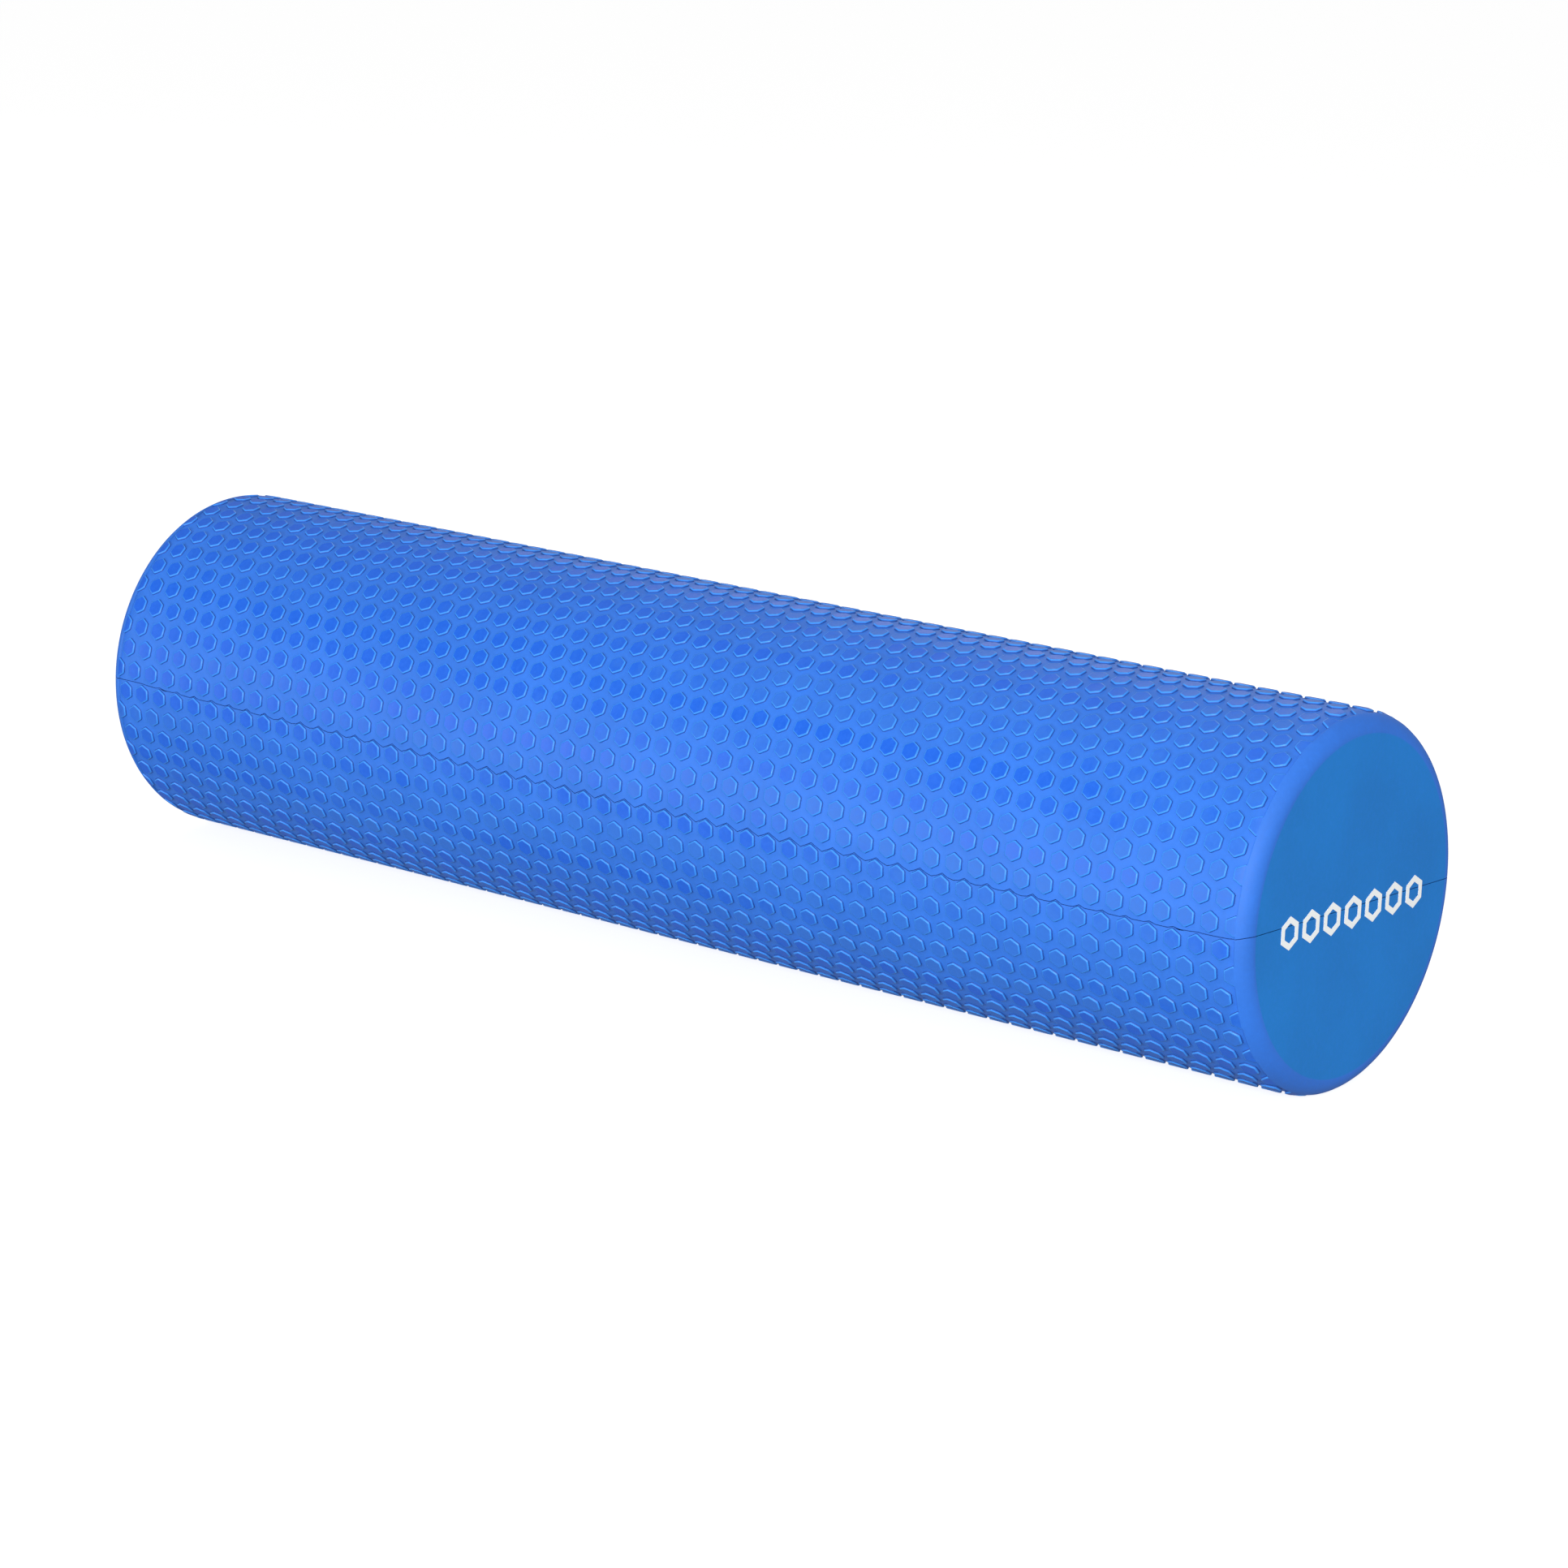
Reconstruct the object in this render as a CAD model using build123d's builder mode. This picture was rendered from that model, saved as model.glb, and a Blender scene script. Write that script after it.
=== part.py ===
"""Solid foam massage roller, made of two half-round mouldings bonded on a diametral plane.

Frame: +X runs along the roller's axis to the printed end, +Z is up, and the origin is the
roller's centre. The bond plane is Z = 0. Sizes are in millimetres.
"""

from build123d import *
import os

# Driving dimensions
ROLLER_DIAMETER = 150.0  # over the tops of the moulded pads
ROLLER_LENGTH = 600.0  # between the two flat end faces
EDGE_RADIUS = 8.0  # rounding from the side into each end face

BOND_THICKNESS = 0.3  # cured glue between the two mouldings
BOND_SIDE_INSET = 2.3  # the glue stops just below the grooves between the pads
BOND_END_INSET = 0.5  # and just inside each end face

PRINT_RINGS = 7  # plain hexagon outlines, in a row along the bond line
PRINT_PITCH = 14.6
PRINT_CIRCUMRADIUS = 6.6
PRINT_STROKE = 2.3  # width of the printed line, measured across a hexagon's side
PRINT_DROP = 2.0  # how far the row's middle lies below the bond line
INK_THICKNESS = 0.15

# Worked out from them
ROLLER_RADIUS = ROLLER_DIAMETER / 2
HALF_LENGTH = ROLLER_LENGTH / 2
HALF_BOND = BOND_THICKNESS / 2
APOTHEM_RATIO = 3**0.5 / 2  # a hexagon's side distance over its corner distance
PRINT_HOLE_CIRCUMRADIUS = PRINT_CIRCUMRADIUS - PRINT_STROKE / APOTHEM_RATIO


def roller_profile():
    """Half of the roller's lengthwise section, from the axis out to the side, edges rounded."""
    with BuildSketch(Plane.XZ) as profile:
        with Locations((0, ROLLER_RADIUS / 2)):
            Rectangle(ROLLER_LENGTH, ROLLER_RADIUS)
        outer_corners = profile.vertices().group_by(Axis.Z)[-1]
        fillet(outer_corners, EDGE_RADIUS)
    return profile.sketch


def save(piece, name):
    """Label a finished piece and write it as its own STEP file."""
    piece.part.label = name
    export_step(piece.part, f"parts/{name}.step")


os.makedirs("parts", exist_ok=True)

# Upper half-round moulding, from the top of the glue film to the crown
with BuildPart() as upper_half:
    revolve(roller_profile(), axis=Axis.X)
    split(bisect_by=Plane.XY.offset(HALF_BOND), keep=Keep.TOP)
save(upper_half, "upper_half")

# Lower half-round moulding, which is the same moulding turned over
with BuildPart() as lower_half:
    revolve(roller_profile(), axis=Axis.X)
    split(bisect_by=Plane.XY.offset(-HALF_BOND), keep=Keep.BOTTOM)
save(lower_half, "lower_half")

# Glue film that fills the bond plane, with the outline of the roller's lengthwise section
with BuildPart() as bond_film:
    with BuildSketch(Plane.XY):
        RectangleRounded(
            ROLLER_LENGTH - 2 * BOND_END_INSET,
            ROLLER_DIAMETER - 2 * BOND_SIDE_INSET,
            EDGE_RADIUS,
        )
    extrude(amount=HALF_BOND, both=True)
save(bond_film, "bond_film")

# Ink printed on the end face at +X: a row of hexagon outlines, each a separate patch of ink
with BuildPart() as end_print:
    with BuildSketch(Plane.YZ.offset(HALF_LENGTH)):
        with Locations((0, -PRINT_DROP)):
            with GridLocations(PRINT_PITCH, 0, PRINT_RINGS, 1):
                RegularPolygon(PRINT_CIRCUMRADIUS, 6, rotation=30)
                RegularPolygon(PRINT_HOLE_CIRCUMRADIUS, 6, rotation=30, mode=Mode.SUBTRACT)
    extrude(amount=INK_THICKNESS)
save(end_print, "end_print")
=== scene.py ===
"""Foam massage roller: the looks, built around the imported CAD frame.

Two half-round foam mouldings carry rows of raised hexagonal pads on a recessed net. Both halves
come out of one mould, so the lower one is the upper one turned over about the roller's axis. Shapes
are worked out in millimetres in the roller's frame, with X along the axis, and made in metres.
"""

import cmath
import math
import random

import bmesh
import bpy
import numpy as np
from bpy.props import FloatProperty, FloatVectorProperty, IntProperty, PointerProperty
from mathutils import Euler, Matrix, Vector


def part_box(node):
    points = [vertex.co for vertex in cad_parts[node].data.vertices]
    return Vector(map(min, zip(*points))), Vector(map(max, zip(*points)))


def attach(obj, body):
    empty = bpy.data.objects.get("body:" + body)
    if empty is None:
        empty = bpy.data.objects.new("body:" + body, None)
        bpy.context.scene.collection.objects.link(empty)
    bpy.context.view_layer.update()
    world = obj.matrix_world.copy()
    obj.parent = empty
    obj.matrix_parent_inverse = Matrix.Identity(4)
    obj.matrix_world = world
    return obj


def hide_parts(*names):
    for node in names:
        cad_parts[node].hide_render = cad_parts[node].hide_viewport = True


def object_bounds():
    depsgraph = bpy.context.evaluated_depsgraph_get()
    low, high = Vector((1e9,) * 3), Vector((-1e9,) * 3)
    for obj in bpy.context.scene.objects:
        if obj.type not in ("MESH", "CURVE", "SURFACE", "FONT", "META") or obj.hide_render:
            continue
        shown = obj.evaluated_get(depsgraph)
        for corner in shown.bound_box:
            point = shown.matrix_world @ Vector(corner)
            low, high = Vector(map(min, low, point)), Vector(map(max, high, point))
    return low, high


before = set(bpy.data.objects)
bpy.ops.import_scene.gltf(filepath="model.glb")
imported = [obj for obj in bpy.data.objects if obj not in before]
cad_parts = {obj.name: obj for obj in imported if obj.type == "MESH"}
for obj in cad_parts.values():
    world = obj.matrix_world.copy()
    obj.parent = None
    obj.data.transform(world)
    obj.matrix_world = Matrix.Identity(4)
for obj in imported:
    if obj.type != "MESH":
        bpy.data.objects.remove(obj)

CAD_LOW, CAD_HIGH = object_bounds()
HALF_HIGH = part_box("upper_half")[1]

bl_info = {
    "name": "Foam roller looks",
    "version": (1, 0, 0),
    "blender": (4, 5, 0),
    "location": "View3D > Sidebar > Roller",
    "description": "Builds the padded foam halves, their bond line, the end print and the stage",
    "category": "Object",
}

MM = 0.001
TAU = 2 * math.pi
ROLLER_RADIUS = HALF_HIGH.z  # metres, over the pad tops
HALF_LENGTH = HALF_HIGH.x
SAME_POINT = 0.00137  # mm, points closer than this are one point
SEAM_SAG, SEAM_RISE, SEAM_AT_END = -2.7, 2.9, 1.2  # mm, how far the bond line bows along its length
SEAM_RIPPLES = ((0.16, 0.11, 1.0), (0.10, 0.27, 2.0))  # mm, radians per mm and radians each
SKIRT_TOP, SKIRT_SLOPE = 0.10, 0.5  # mm and a slope, how the bond line skirts the pads beside it
PLATE_INSET, PLATE_END_INSET = 1.6, 0.4  # mm, from the envelope to the glue, and from the ends
TWIST = (0.14, 0.0016, -6.6e-6)  # degrees, over x in mm: how the cured foam has twisted
CREEP = (0.1, 0.0022, -0.7e-5)  # mm, over x in mm: how far the pads have crept along the roller
CREEP_HELD, CREEP_FADE = 276.0, 16.0  # mm, how far out the creep is whole, and how fast it fades
STEP_UP, STEP_LEVEL, ROUND_FROM = 0.35, 0.75, 0.9  # mm past the pads, along the plain band
BAND_WOBBLE = 0.22  # mm, how far the band's step strays along the roller
BAND_RIPPLES = ((0.5, 17, 0), (0.3, 41, 1))  # shares of it, waves per radian and radians each
ROUND_STEPS = 7  # rows of points round the edge into the end face
FACE_RIM, FACE_RINGS = 0.5, (50.0, 30.0, 10.0)  # mm, first ring's inset, and the other rings' radii
# Painted shade: this edge layer value darkens the foam down in the bond line.
EDGE_SHADE = -0.65  # edge layer's value down in the bond line, where 1 is a pad's rim, -1 its wall


# ---------------------------------------------------------------- settings


class PadSettings(bpy.types.PropertyGroup):
    """Sizes of the moulded pads and of the net of grooves between them."""

    rows: IntProperty(name="Rows", description="Rows of pads on one half", default=24)
    pitch: FloatProperty(
        name="Pitch", description="Spacing of the pads along the roller", default=10.6977 * MM,
        subtype="DISTANCE",
    )
    steps: IntProperty(name="Steps", description="Pad pitches between the end bands", default=55)
    shift: FloatProperty(
        name="Shift", description="How far the pattern's middle lies towards the printed end",
        default=0.6 * MM, subtype="DISTANCE",
    )
    first_row: FloatProperty(
        name="First row", description="Angle from the bond line to the first row of pads",
        default=math.radians(3.5), subtype="ANGLE",
    )
    apothem: FloatProperty(
        name="Pad apothem", description="From a pad's middle to the middle of a side, on top",
        default=3.55 * MM, subtype="DISTANCE",
    )
    corner: FloatProperty(
        name="Corner", description="Length cut off each side at a rounded corner",
        default=0.28 * MM, subtype="DISTANCE",
    )
    height: FloatProperty(
        name="Height", description="How far the pads stand above the net", default=1.0 * MM,
        subtype="DISTANCE",
    )
    dish: FloatProperty(
        name="Dish", description="How far a pad's middle sinks below its rim", default=0.20 * MM,
        subtype="DISTANCE",
    )


class EndSettings(bpy.types.PropertyGroup):
    """Sizes of the plain band and the rounded edge at each end, and of the bond line."""

    round_length: FloatProperty(
        name="Round length", description="Length of the rounded edge along the roller",
        default=10.5 * MM, subtype="DISTANCE",
    )
    round_depth: FloatProperty(
        name="Round depth", description="How far the rounded edge comes in", default=8.0 * MM,
        subtype="DISTANCE",
    )
    groove_half: FloatProperty(
        name="Groove half width", description="From the bond plane to each half's edge",
        default=0.08 * MM, subtype="DISTANCE",
    )
    groove_lip: FloatProperty(
        name="Groove lip", description="Width of the softened edge beside the bond line",
        default=0.20 * MM, subtype="DISTANCE",
    )
    groove_drop: FloatProperty(
        name="Groove drop", description="How far that edge sinks", default=0.22 * MM,
        subtype="DISTANCE",
    )


class ColourSettings(bpy.types.PropertyGroup):
    """Base colours of the foam, the glue, the ink and the floor."""

    # The net colour is the foam's own paler blue, with its small red part raised as painted sheen.
    net: FloatVectorProperty(
        name="Net", description="Matt foam between the pads and on the end bands", size=3,
        default=(0.022, 0.160, 0.66), subtype="COLOR", min=0, max=1,
    )
    pad: FloatVectorProperty(
        name="Pad", description="Smoother foam on the pad tops", size=3,
        default=(0.001, 0.106, 0.65), subtype="COLOR", min=0, max=1,
    )
    face: FloatVectorProperty(
        name="End face", description="Flat end faces", size=3,
        default=(0.002, 0.188, 0.60), subtype="COLOR", min=0, max=1,
    )
    glue: FloatVectorProperty(
        name="Glue", description="Cured glue in the bond line", size=3,
        default=(0.006, 0.035, 0.22), subtype="COLOR", min=0, max=1,
    )
    ink: FloatVectorProperty(
        name="Ink", description="Printed ink on the end face", size=3,
        default=(0.94, 0.97, 0.97), subtype="COLOR", min=0, max=1,
    )
    floor: FloatVectorProperty(
        name="Floor", description="Plain pale floor", size=3,
        default=(0.93, 0.93, 0.93), subtype="COLOR", min=0, max=1,
    )


# ---------------------------------------------------------------- shapes


def rounded_hexagon(apothem, corner):
    """Points of a hexagon with two sides square to X and cut corners, each with its way out.

    A place on the unrolled side is a complex number, real along X and imaginary round the axis.
    """
    points = []
    reach = apothem / math.cos(math.pi / 6)
    for k in range(6):
        at = math.radians(30 + 60 * k)
        for sign in (-1, 1):
            along = cmath.rect(corner * sign, at + sign * math.pi / 6 + math.pi / 2)
            points.append((cmath.rect(reach, at) + along, cmath.rect(1, at + sign * math.pi / 12)))
    return points


def half_outline(points, side):
    """The points on one side of X = 0, with both points where the outline crosses that line."""
    top = max(p.imag for p, _ in points)
    kept = [pair for pair in points if pair[0].real * side > 0]
    return kept + [(complex(0, y), complex(0, math.copysign(1, y))) for y in (-top, top)]


def polynomial(terms, x):
    """The sum of the terms times rising powers of x."""
    return sum(term * x**power for power, term in enumerate(terms))


def eased(value):
    """0 to 1, with a soft start and end."""
    held = min(1.0, max(0.0, value))
    return held * held * (3 - 2 * held)


class Moulding:
    """Collects the points and faces of one half, in millimetres, each point made once."""

    def __init__(self, pads, ends, chance):
        self.chance = chance
        self.rows, self.steps = pads.rows, pads.steps
        self.radius = ROLLER_RADIUS / MM
        self.half_length = HALF_LENGTH / MM
        self.round_length = ends.round_length / MM
        self.round_depth = ends.round_depth / MM
        self.pitch, self.shift = pads.pitch / MM, pads.shift / MM
        self.height, self.dish = pads.height / MM, pads.dish / MM
        self.apothem, self.corner = pads.apothem / MM, pads.corner / MM
        self.row_step = math.pi / pads.rows
        self.first_row = pads.first_row
        self.gap, self.lip = ends.groove_half / MM, ends.groove_lip / MM
        self.drop = ends.groove_drop / MM
        self.points, self.normals, self.flat = [], [], []
        self.layers = {"pad_top": [], "edge": [], "tone_and_sheen": [], "end_face": []}
        self.faces, self.regions = [], []
        self.known = {}
        self.edges = {False: {}, True: {}}  # edge points beside the bond line, by x, back and front

    def pattern_end(self, side):
        """X where the pads stop and the plain band starts."""
        return self.shift + side * self.steps * self.pitch / 2

    def rounding(self, x):
        """How far x is along the rounded edge, from 0 at its start to 1 at the end face."""
        over = abs(x) - (self.half_length - self.round_length)
        return min(1.0, max(0.0, over / self.round_length))

    def envelope(self, x):
        """Radius over the pad tops, which falls away along the rounded edges."""
        return self.radius - self.round_depth * (1 - math.sqrt(1 - self.rounding(x) ** 2))

    def unrolled(self, x):
        """Length along the surface from the roller's middle, close enough for a flat layout."""
        arc = self.round_length * math.asin(self.rounding(x)) * 0.9
        straight = min(abs(x), self.half_length - self.round_length)
        return math.copysign(straight + arc, x)

    def crept(self, x):
        """Where a point of the pattern has crept to along the roller, less and less at the ends."""
        held = 1 - eased((abs(x) - CREEP_HELD) / CREEP_FADE)
        return x + polynomial(CREEP, x) * held

    def place(self, x, angle, radius):
        """Coordinates of a point of the moulding, with the foam's slight twist and creep."""
        turned = angle + math.radians(polynomial(TWIST, x))
        return self.crept(x), radius * math.cos(turned), radius * math.sin(turned)

    def point(self, x, angle, depth, lean=(0, 0), top=0.0, tone_and_sheen=0.5, end_face=0.0, edge=0.0):
        """Index of the point at x and angle round the axis, depth below the envelope.

        Its shading normal leans from the envelope's by lean, along X and round the axis.
        """
        key = tuple(round(v / SAME_POINT) for v in (x, angle * self.radius, depth))
        if key in self.known:
            return self.known[key]
        share = self.rounding(x)
        slope = Vector((
            math.copysign(self.round_depth * share, x),
            self.round_length * math.sqrt(1 - share * share),
        )).normalized()
        at = self.place(x, angle, self.envelope(x) - depth)
        turned = math.atan2(at[2], at[1])
        cos, sin = math.cos(turned), math.sin(turned)
        normal = Vector((slope.x, slope.y * cos, slope.y * sin))
        normal += Vector((slope.y, -slope.x * cos, -slope.x * sin)) * lean[0]
        normal += Vector((0, -sin, cos)) * lean[1]
        self.known[key] = len(self.points)
        self.points.append(at)
        self.normals.append(normal.normalized())
        self.flat.append((self.unrolled(x), angle * self.radius))
        values = {"pad_top": top, "edge": edge, "tone_and_sheen": tone_and_sheen, "end_face": end_face}
        for name, value in values.items():
            self.layers[name].append(value)
        return self.known[key]

    def face(self, corners, region="side"):
        """Add one face, leaving out repeated corners."""
        kept = [c for k, c in enumerate(corners) if c != corners[k - 1]]
        if len(kept) > 2:
            self.faces.append(kept)
            self.regions.append(region)

    def join(self, inner, outer, closed):
        """Fill between two chains of (turn, point), both anticlockwise, the inner one first."""
        i, o = 0, 0
        n_in, n_out = len(inner), len(outer)
        if closed:
            inner = inner + [(inner[0][0] + TAU, inner[0][1])]
            outer = outer + [(outer[0][0] + TAU, outer[0][1])]
        else:
            n_in, n_out = n_in - 1, n_out - 1
        while i < n_in or o < n_out:
            if i == n_in or (o < n_out and outer[o + 1][0] <= inner[i + 1][0]):
                self.face((inner[i][1], outer[o][1], outer[o + 1][1]))
                o += 1
            else:
                self.face((inner[i][1], outer[o][1], inner[i + 1][1]))
                i += 1

    def bridge(self, one, other, region):
        """Quads between two rows of points with the same number of points."""
        for k in range(len(one) - 1):
            self.face((one[k], one[k + 1], other[k + 1], other[k]), region)

    def seam_shift(self, x):
        """How far the bond line lies above the roller's middle in front, and below it behind.

        It bows along the roller and skirts the nearest row of pads, which in front is the other
        half's first row.
        """
        steps_away = (x - self.shift) / self.pitch
        from_pad = abs(steps_away - round(steps_away)) * self.pitch
        bow = SEAM_SAG + SEAM_RISE * (x / self.half_length) ** 2
        bow += sum(size * math.sin(rate * x + start) for size, rate, start in SEAM_RIPPLES)
        wave = max(bow, SKIRT_TOP - SKIRT_SLOPE * from_pad)
        past_pads = abs(x) - self.pattern_end(1)
        near_end = eased(past_pads / (self.half_length - self.pattern_end(1)))
        return wave + (SEAM_AT_END - wave) * near_end

    def seam_angle(self, x, front, inset, radius=None):
        """Angle of a line beside the bond line, inset from this half's edge of it."""
        rise = self.seam_shift(x) / self.envelope(x)
        inward = (self.gap + inset) / (radius or self.envelope(x))
        return math.pi - rise - inward if front else inward - rise

    def seam_points(self, x, angle, front, ends):
        """Where a pad's share of the net meets the softened edge beside the bond line."""
        points = []
        for quarter in range(-2, 3):
            u = quarter * self.pitch / 4
            if ends[0] <= u <= ends[1]:
                radius = self.envelope(x + u) - self.height
                at = self.seam_angle(x + u, front, self.lip, radius)
                points.append(complex(u, (at - angle) * self.radius))
        return points

    def share_of_net(self, row, x, angle, side):
        """Outline of a pad's share of the net; side keeps only that half of it, or all if 0."""
        across = self.row_step * self.radius
        far = across / 2 + self.pitch**2 / (8 * across)
        near = across - far
        half = self.pitch / 2
        ends = (-half if side <= 0 else 0.0, half if side >= 0 else 0.0)
        points = []
        for up in (1, -1):
            if row == (self.rows - 1 if up > 0 else 0):
                points += self.seam_points(x, angle, up > 0, ends)
            else:
                plain = ((-half, near * up), (0.0, far * up), (half, near * up))
                points += [complex(u, v) for u, v in plain if ends[0] <= u <= ends[1]]
        to_band = self.pattern_end(1 if x > 0 else -1) - x
        if side == 0 and abs(abs(to_band) - half) < SAME_POINT:
            points.append(complex(to_band, 0))
        return [(p, 0j) for p in points]

    def pad(self, row, x, angle, side, tone_and_sheen, dish):
        """One raised pad with its share of the net, or half of one at a band."""
        # The edge column paints a highlight on the rim (1) and shade on the wall (-1).
        rings = (  # apothem, corner, depth, lean, top, edge
            (self.apothem * 0.72, self.corner, dish * 0.8, -0.05, 1.0, 0.0),
            (self.apothem - 0.45, self.corner, 0.03, 0.0, 1.0, 0.25),
            (self.apothem, self.corner * 1.1, 0.20, 1.30, 0.3, 1.0),
            (self.apothem + 0.13, self.corner * 1.2, self.height - 0.10, 1.7, 0.0, -1.0),
            (self.apothem + 0.38, self.corner * 1.5, self.height, 0.12, 0.0, -0.08),
        )
        whole = side == 0
        chains = []
        for apothem, corner, *rest in rings:
            outline = rounded_hexagon(apothem, corner)
            chains.append((outline if whole else half_outline(outline, side), *rest))
        chains.append((self.share_of_net(row, x, angle, side), self.height, 0.0, 0.0, 0.0))
        indexed = []
        first_turn = -math.pi / 2 if side > 0 else 0.0
        for outline, depth, lean, top, edge in chains:
            chain = []
            for p, out in outline:
                turn = (cmath.phase(p) - first_turn + 1e-6) % TAU
                at = angle + p.imag / self.radius
                leans = (out.real * lean, out.imag * lean)
                index = self.point(x + p.real, at, depth, leans, top, tone_and_sheen, edge=edge)
                chain.append((turn, index))
            indexed.append(sorted(chain))
        middle = self.point(x, angle, dish, (0, 0), 1.0, tone_and_sheen)
        inmost = [index for _, index in indexed[0]]
        for k in range(0 if whole else 1, len(inmost)):
            self.face((middle, inmost[k - 1], inmost[k]))
        for inner, outer in zip(indexed, indexed[1:]):
            self.join(inner, outer, whole)

    def pad_rows(self):
        """Every row of pads; rows of one kind are cut in half by the bands at their two ends."""
        for row in range(self.rows):
            angle = self.first_row + row * self.row_step
            cut = row % 2 == 1
            count = self.steps + (1 if cut else 0)
            start = self.pattern_end(-1) + (0 if cut else self.pitch / 2)
            row_tone = self.chance.uniform(0.0, 0.72)
            drift = self.chance.uniform(0, TAU)
            for k in range(count):
                x = start + k * self.pitch
                side = 0
                if cut and k in (0, count - 1):
                    side = 1 if k == 0 else -1
                # Random tone along the row, plus painted sheen: the last term makes pads paler
                # towards the printed end.
                wave = 0.18 * math.sin(0.021 * x + drift) + 0.28 * x / self.half_length
                tone_and_sheen = min(1.0, max(0.0, row_tone + wave + self.chance.uniform(-0.08, 0.08)))
                dish = self.dish * self.chance.uniform(0.7, 1.3)
                self.pad(row, x, angle, side, tone_and_sheen, dish)

    def soft_edge(self, x, radius, front, depth_along=0.0, end_face=0.0):
        """The lip point and the sunken edge point beside the bond line at x and radius."""
        way = 1 if front else -1
        lip = self.point(
            x, self.seam_angle(x, front, self.lip, radius), self.envelope(x) - radius,
            (0, 0.12 * way), end_face=end_face,
        )
        low_x = x - math.copysign(depth_along, x)
        low = radius - (0 if depth_along else self.drop)
        # The sunken edge point carries painted shade.
        edge = self.point(
            low_x, self.seam_angle(x, front, 0, low), self.envelope(low_x) - low,
            (0, way), end_face=end_face, edge=EDGE_SHADE,
        )
        return lip, edge

    def band_row(self, x, radius, angles, wobble=0.0, leans=None, end_face=0.0):
        """Points right across a band or an end face, from one edge of the half to the other."""
        sunk = self.drop / 2 if end_face else 0.0
        low, low_edge = self.soft_edge(x, radius, False, sunk, end_face)
        high, high_edge = self.soft_edge(x, radius, True, sunk, end_face)
        first = self.seam_angle(x, False, self.lip, radius)
        last = self.seam_angle(x, True, self.lip, radius)
        row = [low_edge, low]
        for k in range(1, len(angles) - 1):
            share = (angles[k] - angles[0]) / (angles[-1] - angles[0])
            angle = first + (last - first) * share
            waves = sum(size * math.sin(rate * angle + begin) for size, rate, begin in BAND_RIPPLES)
            at = x + wobble * waves * math.sin(math.pi * share)
            lean = (leans[k] if leans else 0.0, 0.0)
            depth = self.envelope(at) - radius if end_face else 0.0
            row.append(self.point(at, angle, depth, lean, end_face=end_face))
        row += [high, high_edge]
        return row, low_edge, high_edge

    def band(self, side):
        """The plain band, its rounded edge and the flat end face at one end of the half."""
        start = self.pattern_end(side)
        line = self.unrolled(start)
        on_line = [k for k, p in enumerate(self.flat) if abs(p[0] - line) < SAME_POINT]
        on_line.sort(key=lambda k: self.flat[k][1])
        lips = [self.soft_edge(start, self.envelope(start) - self.height, f) for f in (False, True)]
        angles = [self.flat[k][1] / self.radius for k in on_line]
        row = [lips[0][1]] + on_line + [lips[1][1]]
        self.edges[False][start], self.edges[True][start] = lips[0][1], lips[1][1]
        depths = [self.envelope(start) - math.hypot(*self.points[k][1:]) for k in on_line]
        leans = [-side * 0.9 * depth / self.height for depth in depths]
        turned = math.asin(self.rounding(start + side * ROUND_FROM))
        steps = range(1, ROUND_STEPS + 1)
        turns = [turned + (math.pi / 2 - turned) * k / ROUND_STEPS for k in steps]
        straight = self.half_length - self.round_length
        stations = [(start + side * STEP_UP, BAND_WOBBLE, leans)]
        stations += [(start + side * STEP_LEVEL, BAND_WOBBLE, None)]
        stations += [(side * (straight + self.round_length * math.sin(t)), 0.0, None) for t in turns]
        for x, wobble, lean in stations:
            x = math.copysign(min(abs(x), self.half_length), x)
            onward, low_edge, high_edge = self.band_row(x, self.envelope(x), angles, wobble, lean)
            self.bridge(row, onward, "side")
            self.edges[False][x], self.edges[True][x] = low_edge, high_edge
            row = onward
        self.end_face(side, row, angles)

    def end_face(self, side, rim, angles):
        """Rings of the flat end face, closed at the middle of the bond line."""
        x = side * self.half_length
        row, lows, highs = rim, [], []
        for radius in (self.envelope(x) - FACE_RIM, *FACE_RINGS):
            onward, low_edge, high_edge = self.band_row(x, radius, angles, end_face=1.0)
            self.bridge(row, onward, "end")
            lows.append(low_edge)
            highs.append(high_edge)
            row = onward
        across = math.pi / 2 - self.seam_shift(x) / self.envelope(x)
        middle = self.point(x, across, self.envelope(x) - self.gap - self.lip, end_face=1.0)
        low_x = x - side * self.drop / 2
        low_middle = self.point(low_x, across, self.envelope(low_x) - self.gap, end_face=1.0)
        for k in range(1, len(row) - 2):
            self.face((row[k], row[k + 1], middle), "end")
        self.face((row[0], row[1], middle, low_middle), "end")
        self.face((row[-2], row[-1], low_middle, middle), "end")
        xs = sorted(self.edges[False], key=abs)
        near_end = [v for v in xs if v * side > 0][-2:]
        before, last = near_end
        outline = [self.edges[True][before], self.edges[False][before], self.edges[False][last]]
        outline += lows + [low_middle] + highs[::-1] + [self.edges[True][last]]
        self.face(outline, "inner")

    def bond_side(self):
        """The softened edges beside the bond line, and the wide flat face that is glued."""
        start = self.pattern_end(-1)
        previous = None
        for k in range(4 * self.steps + 1):
            x = start + k * self.pitch / 4
            radius = self.envelope(x) - self.height
            (low, low_edge), (high, high_edge) = (
                self.soft_edge(x, radius, front) for front in (False, True)
            )
            if previous:
                self.face((previous[0], low, low_edge, previous[1]))
                self.face((previous[2], high, high_edge, previous[3]))
            previous = (low, low_edge, high, high_edge)
            if 0 < k < 4 * self.steps:
                self.edges[False][x], self.edges[True][x] = low_edge, high_edge

    def glued_face(self):
        """Quads of the glued face, between one edge of the half and the other."""
        xs = sorted(self.edges[False])[1:-1]
        for one, other in zip(xs, xs[1:]):
            back, front = self.edges[False], self.edges[True]
            self.face((front[one], back[one], back[other], front[other]), "inner")

    def build(self):
        """Make the whole half."""
        self.pad_rows()
        self.bond_side()
        for side in (-1, 1):
            self.band(side)
        self.glued_face()


# ---------------------------------------------------------------- meshes

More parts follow.
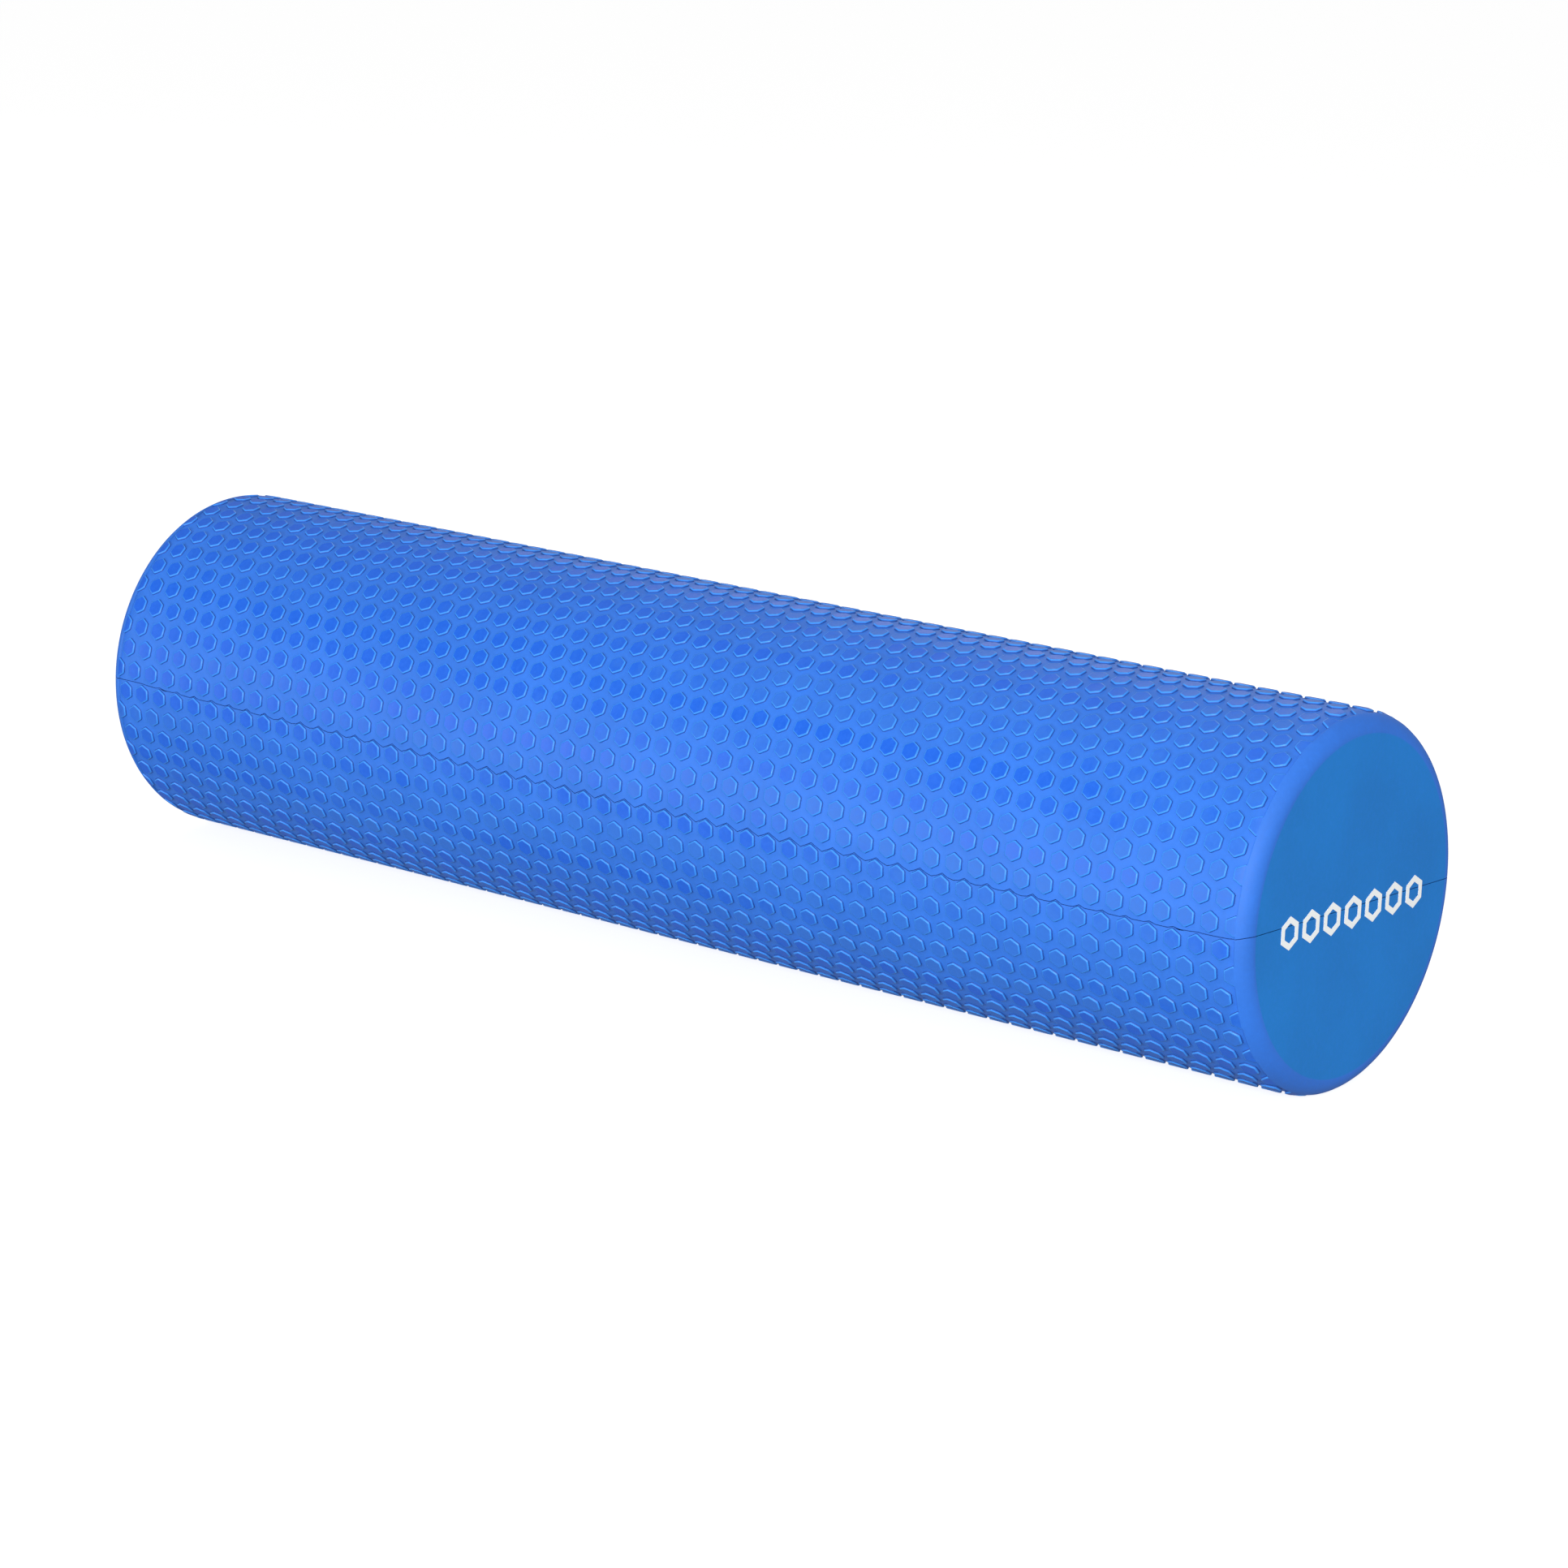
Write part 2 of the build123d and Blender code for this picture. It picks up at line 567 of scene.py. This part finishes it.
SHEET = 480.0  # mm, side of the square that a half's surface is laid out on
SIDE_LEFT, SIDE_BOTTOMS = 6.0, (1.4, 241.2)  # mm, corners of the side's strips, far end's first
FACE_MIDDLE, FACE_BOTTOMS = 380.0, (4.0, 82.0)  # mm, the same for the end faces, from their middles
GLUED_HEIGHT, GLUED_SCALE = 190.0, 0.22  # mm, and how small the glued face is laid out


def laid_out(moulding, vertex, region, printed_end):
    """Place of a face corner on the flat sheet, in millimetres."""
    x, y, z = moulding.points[vertex]
    if region == "end":
        return FACE_MIDDLE + y, FACE_BOTTOMS[printed_end] + z
    if region == "inner":
        return FACE_MIDDLE + x * GLUED_SCALE, GLUED_HEIGHT + y * GLUED_SCALE
    along, around = moulding.flat[vertex]
    return SIDE_LEFT + (along if printed_end else -along), SIDE_BOTTOMS[printed_end] + around


def mesh_of_half(name, moulding, turned_over):
    """The mesh of one half in metres, turned over about the roller's axis for the lower one."""
    flip = -1 if turned_over else 1
    scale = np.array((MM, MM * flip, MM * flip))
    mesh = bpy.data.meshes.new(name)
    mesh.from_pydata((np.array(moulding.points) * scale).tolist(), [], moulding.faces)
    work = bmesh.new()
    work.from_mesh(mesh)
    bmesh.ops.recalc_face_normals(work, faces=work.faces)
    work.to_mesh(mesh)
    work.free()
    for layer, values in moulding.layers.items():
        mesh.attributes.new(layer, "FLOAT", "POINT").data.foreach_set("value", values)
    normals, places = [], []
    turned = [(n.x, n.y * flip, n.z * flip) for n in moulding.normals]
    for polygon in mesh.polygons:
        region = moulding.regions[polygon.index]
        printed_end = sum(moulding.points[v][0] for v in polygon.vertices) > 0
        for vertex in polygon.vertices:
            normals.append((0, 0, -flip) if region == "inner" else turned[vertex])
            u, v = laid_out(moulding, vertex, region, printed_end)
            places += [u / SHEET, v / SHEET]
    mesh.uv_layers.new(name="OFBake").data.foreach_set("uv", places)
    mesh.shade_smooth()
    mesh.normals_split_custom_set(normals)
    return mesh


def mesh_of_plate(moulding):
    """The thin wavy plate of glue that fills the gap between the halves."""
    reach = moulding.half_length - PLATE_END_INSET
    steps = 4 * moulding.steps
    work = bmesh.new()
    rows = []
    for k in range(steps + 1):
        x = reach * (2 * k / steps - 1)
        radius = moulding.envelope(x) - PLATE_INSET
        corners = []
        for front, way in ((True, 1), (False, 1), (False, -1), (True, -1)):
            inset = moulding.gap * (0.98 * way - 1)
            angle = moulding.seam_angle(x, front, inset, radius)
            corners.append(work.verts.new(Vector(moulding.place(x, angle, radius)) * MM))
        rows.append(corners)
    for one, other in zip(rows, rows[1:]):
        for k in range(4):
            work.faces.new((one[k - 1], one[k], other[k], other[k - 1]))
    work.faces.new(rows[0])
    work.faces.new(rows[-1])
    bmesh.ops.recalc_face_normals(work, faces=work.faces)
    mesh = bpy.data.meshes.new("glue_line")
    work.to_mesh(mesh)
    work.free()
    return mesh


# ---------------------------------------------------------------- finishes


class Wire:
    """A node's output; arithmetic on it adds Math nodes."""

    def __init__(self, finish, socket):
        self.finish, self.socket = finish, socket

    def math(self, operation, *values):
        """The result of a Math node over the given values."""
        return self.finish.node(
            "ShaderNodeMath", {"operation": operation}, dict(enumerate(values))
        )

    def __add__(self, other):
        return self.math("ADD", self, other)

    __radd__ = __add__

    def __sub__(self, other):
        return self.math("SUBTRACT", self, other)

    def __rsub__(self, other):
        return self.math("SUBTRACT", other, self)

    def __mul__(self, other):
        return self.math("MULTIPLY", self, other)

    __rmul__ = __mul__

    def between(self, low, high):
        """0 at low and below, 1 at high and above, smooth in between."""
        return self.finish.node(
            "ShaderNodeMapRange", {"interpolation_type": "SMOOTHSTEP"},
            {"Value": self, "From Min": low, "From Max": high},
        )


class Finish:
    """One material and the nodes in it."""

    def __init__(self, name):
        self.material = bpy.data.materials.new(name)
        self.material.use_nodes = True
        self.tree = self.material.node_tree
        self.tree.nodes.clear()

    def node(self, kind, settings=None, inputs=None, output=0):
        """Add a node, set its settings and then its inputs, and give one output."""
        node = self.tree.nodes.new(kind)
        for name, value in (settings or {}).items():
            setattr(node, name, value)
        for name, value in (inputs or {}).items():
            if isinstance(value, Wire):
                self.tree.links.new(value.socket, node.inputs[name])
            else:
                node.inputs[name].default_value = value
        return Wire(self, node.outputs[output])

    def layer(self, name):
        """A number stored on the mesh's points."""
        return self.node("ShaderNodeAttribute", {"attribute_name": name}, output="Fac")

    def noise(self, scale, detail=2.0, roughness=0.5, stretch=(1, 1, 1)):
        """Noise over the object, with scale in features per metre."""
        place = self.node("ShaderNodeTexCoord", output="Object")
        place = self.node(
            "ShaderNodeVectorMath", {"operation": "MULTIPLY"}, {0: place, 1: stretch}
        )
        return self.node(
            "ShaderNodeTexNoise", None,
            {"Vector": place, "Scale": scale, "Detail": detail, "Roughness": roughness},
        )

    def mix(self, factor, one, other):
        """One colour at factor 0 and the other at factor 1."""
        colours = [c if isinstance(c, Wire) else (*c, 1.0) for c in (one, other)]
        return self.node(
            "ShaderNodeMix", {"data_type": "RGBA"},
            {0: factor, 6: colours[0], 7: colours[1]}, output=2,
        )

    def bump(self, height, distance, strength):
        """A normal from a height between 0 and 1, over a distance in metres."""
        return self.node(
            "ShaderNodeBump", None,
            {"Height": height, "Distance": distance, "Strength": strength},
        )

    def surface(self, inputs):
        """Connect a Principled shader with these inputs to the output."""
        shader = self.node("ShaderNodeBsdfPrincipled", None, inputs)
        self.node_output(shader)
        return self.material

    def node_output(self, shader):
        """Send the shader to the material's output."""
        output = self.tree.nodes.new("ShaderNodeOutputMaterial")
        self.tree.links.new(shader.socket, output.inputs["Surface"])


def scaled(colour, factor):
    """The colour made darker or lighter, each part held at 1."""
    return tuple(min(1.0, part * factor) for part in colour)


def foam_finish(colours):
    """Closed-cell foam: matt net, smoother pad tops that differ from row to row, plain ends.

    Pads have a painted highlight on the rim and painted shade on the wall, and painted shade darkens
    the foam down in the bond line.
    """
    foam = Finish("moulded_foam")
    top, tone_and_sheen, end, edge = (foam.layer(n) for n in ("pad_top", "tone_and_sheen", "end_face", "edge"))
    cloud = foam.noise(26, 3.0, 0.55)
    speckle = foam.noise(520, 2.0, 0.6)
    grain = foam.noise(2600, 2.0, 0.7)
    patch = foam.noise(150, 3.0, 0.6)
    # Paler pads come from random tone and from painted sheen towards the printed end.
    paleness = (tone_and_sheen + (cloud - 0.5) * 0.6 + (patch - 0.5) * 0.6).between(0.10, 0.85)
    pad = foam.mix(paleness, colours.pad, scaled(colours.net, 0.93))
    cloudy = cloud.between(0.3, 0.7)
    net = foam.mix(cloudy, scaled(colours.net, 0.94), scaled(colours.net, 1.06))
    side = foam.mix(top.between(0.25, 0.95), net, pad)
    face = foam.mix(cloudy, scaled(colours.face, 0.95), scaled(colours.face, 1.05))
    # Painted highlight: the rims are mixed towards a pale blue that stands in for light caught on
    # their rounded edge.
    side = foam.mix(edge.between(0.1, 1.0) * 0.75, side, scaled(colours.net, 2.4))
    # Painted shade: pad walls and the sunken foam beside the bond line are mixed towards a dark
    # blue.
    side = foam.mix((0 - edge).between(0.0, 0.9) * 0.90, side, scaled(colours.pad, 0.30))
    colour = foam.mix(end, side, face)
    colour = foam.mix(speckle.between(0.35, 0.8) * 0.12, colour, scaled(colours.net, 1.5))
    relief = grain * 0.35 + speckle * 0.65
    rough = 0.62 - top * (0.15 - paleness * 0.10) + end * 0.06 + (speckle - 0.5) * 0.12
    rough -= edge.between(0.2, 1.0) * 0.20
    return foam.surface({
        "Base Color": colour,
        "Roughness": rough,
        "Specular IOR Level": 0.45,
        "Normal": foam.bump(relief, 0.14 * MM, 0.5),
    })


def glue_finish(colours):
    """Cured contact glue, dark and slightly shiny."""
    glue = Finish("cured_glue")
    cloud = glue.noise(300)
    return glue.surface({
        "Base Color": glue.mix(cloud, colours.glue, scaled(colours.glue, 1.6)),
        "Roughness": cloud * 0.3 + 0.35,
        "Normal": glue.bump(cloud, 0.1 * MM, 0.3),
    })


def ink_finish(colours):
    """White screen-printed ink that has sunk a little into the foam's grain."""
    ink = Finish("printed_ink")
    grain = ink.noise(1500, 3.0, 0.6)
    thin = grain.between(0.58, 0.80) * 0.30
    return ink.surface({
        "Base Color": ink.mix(thin, colours.ink, colours.face),
        "Roughness": grain * 0.2 + 0.45,
        "Normal": ink.bump(grain, 0.05 * MM, 0.3),
    })


def floor_finish(colours):
    """Plain matt pale floor."""
    floor = Finish("pale_floor")
    cloud = floor.noise(3)
    pale = tuple(colours.floor)
    return floor.surface({
        "Base Color": floor.mix(cloud, scaled(pale, 0.45), scaled(pale, 0.445)),
        "Roughness": 0.9,
        "Specular IOR Level": 0.0,
        "Emission Color": (*pale, 1.0),
        "Emission Strength": 0.90,
    })


# ---------------------------------------------------------------- operators

FLOOR_REACH = 30.0  # metres
SURROUNDINGS = 0.36  # strength of the white all round
LIGHTS = (  # name, place, target and size in metres, and power in watts
    ("key", (-0.80, -1.85, 0.12), (0.1, 0, 0), (1.3, 0.34), 16),
    ("front", (1.35, -1.75, 0.65), (0.1, 0, 0), (0.5, 0.4), 37),
    ("top", (-0.2, 0.1, 1.9), (0, 0, 0), (1.6, 1.6), 7),
    ("back", (-1.2, 2.2, 1.2), (0, 0, 0), (1.6, 0.9), 8.5),
    ("side", (2.2, -0.3, 0.5), (0.3, 0, 0), (0.8, 0.8), 5),
)
CAMERA_PLACE = (1.19937, -1.48818, 0.45502)  # metres
CAMERA_TURN = (76.4448, -2.1069, 38.8063)  # degrees
CAMERA_LENS, CAMERA_SENSOR = 108.463, 36.0  # mm


def add_piece(name, mesh, material):
    """Put a mesh in the scene with its material."""
    mesh.materials.append(material)
    piece = bpy.data.objects.new(name, mesh)
    bpy.context.collection.objects.link(piece)
    return piece


class ROLLER_OT_foam_halves(bpy.types.Operator):
    """Build the two foam halves with their pads, bands and end faces"""

    bl_idname = "roller.foam_halves"
    bl_label = "Foam halves"

    def execute(self, context):
        scene = context.scene
        finish = foam_finish(scene.roller_colours)
        for node, slot, turned_over, seed in (
            ("upper_half", "foam_upper", False, 11),
            ("lower_half", "foam_lower", True, 12),
        ):
            moulding = Moulding(scene.roller_pads, scene.roller_ends, random.Random(seed))
            moulding.build()
            name = "foam_" + node
            piece = add_piece(name, mesh_of_half(name, moulding, turned_over), finish)
            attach(piece, "root")
            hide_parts(node)
        return {"FINISHED"}


class ROLLER_OT_glue_line(bpy.types.Operator):
    """Build the film of glue between the two halves"""

    bl_idname = "roller.glue_line"
    bl_label = "Glue line"

    def execute(self, context):
        scene = context.scene
        moulding = Moulding(scene.roller_pads, scene.roller_ends, random.Random(1))
        piece = add_piece("glue_line", mesh_of_plate(moulding), glue_finish(scene.roller_colours))
        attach(piece, "root")
        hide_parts("bond_film")
        return {"FINISHED"}


class ROLLER_OT_end_print(bpy.types.Operator):
    """Give the printed hexagon outlines on the end face their ink"""

    bl_idname = "roller.end_print"
    bl_label = "End print"

    def execute(self, context):
        ink = ink_finish(context.scene.roller_colours)
        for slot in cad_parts["end_print"].material_slots:
            slot.material = ink
        return {"FINISHED"}


def add_area_light(name, place, target, size, power):
    """A soft square light at place, turned to target."""
    light = bpy.data.lights.new(name, "AREA")
    light.shape = "RECTANGLE"
    light.size, light.size_y = size
    light.energy = power
    lamp = bpy.data.objects.new(name, light)
    lamp.location = place
    lamp.rotation_euler = (Vector(target) - Vector(place)).to_track_quat("-Z", "Y").to_euler()
    bpy.context.collection.objects.link(lamp)


class ROLLER_OT_stage(bpy.types.Operator):
    """Add the floor, the soft lights, the surroundings and the camera"""

    bl_idname = "roller.stage"
    bl_label = "Stage"

    def execute(self, context):
        scene = context.scene
        work = bmesh.new()
        bmesh.ops.create_circle(work, cap_ends=True, segments=64, radius=FLOOR_REACH)
        mesh = bpy.data.meshes.new("floor")
        work.to_mesh(mesh)
        work.free()
        floor = add_piece("floor", mesh, floor_finish(scene.roller_colours))
        floor.location.z = CAD_LOW.z
        floor.visible_glossy = False
        floor.visible_diffuse = False

        world = bpy.data.worlds.new("surroundings")
        world.use_nodes = True
        background = world.node_tree.nodes["Background"]
        background.inputs["Color"].default_value = (1.0, 1.0, 1.0, 1.0)
        background.inputs["Strength"].default_value = SURROUNDINGS
        scene.world = world

        for light in LIGHTS:
            add_area_light(*light)

        lens = bpy.data.cameras.new("camera")
        lens.lens, lens.sensor_width = CAMERA_LENS, CAMERA_SENSOR
        camera = bpy.data.objects.new("camera", lens)
        camera.location = CAMERA_PLACE
        camera.rotation_euler = Euler([math.radians(a) for a in CAMERA_TURN])
        context.collection.objects.link(camera)
        scene.camera = camera
        scene.view_settings.view_transform = "Standard"
        return {"FINISHED"}


# ---------------------------------------------------------------- panel


class ROLLER_PT_panel(bpy.types.Panel):
    """Lists the steps that build the roller"""

    bl_idname = "ROLLER_PT_panel"
    bl_label = "Foam roller"
    bl_space_type = "VIEW_3D"
    bl_region_type = "UI"
    bl_category = "Roller"

    def draw(self, context):
        column = self.layout.column()
        for step in STEPS:
            column.operator(step.bl_idname)


STEPS = (ROLLER_OT_foam_halves, ROLLER_OT_glue_line, ROLLER_OT_end_print, ROLLER_OT_stage)
CLASSES = (PadSettings, EndSettings, ColourSettings, *STEPS, ROLLER_PT_panel)


def register():
    for each in CLASSES:
        bpy.utils.register_class(each)
    bpy.types.Scene.roller_pads = PointerProperty(type=PadSettings)
    bpy.types.Scene.roller_ends = PointerProperty(type=EndSettings)
    bpy.types.Scene.roller_colours = PointerProperty(type=ColourSettings)


def unregister():
    del bpy.types.Scene.roller_pads
    del bpy.types.Scene.roller_ends
    del bpy.types.Scene.roller_colours
    for each in reversed(CLASSES):
        bpy.utils.unregister_class(each)


def main():
    """Build every piece and the stage."""
    register()
    bpy.ops.roller.foam_halves()
    bpy.ops.roller.glue_line()
    bpy.ops.roller.end_print()
    bpy.ops.roller.stage()


if __name__ == "__main__":
    main()
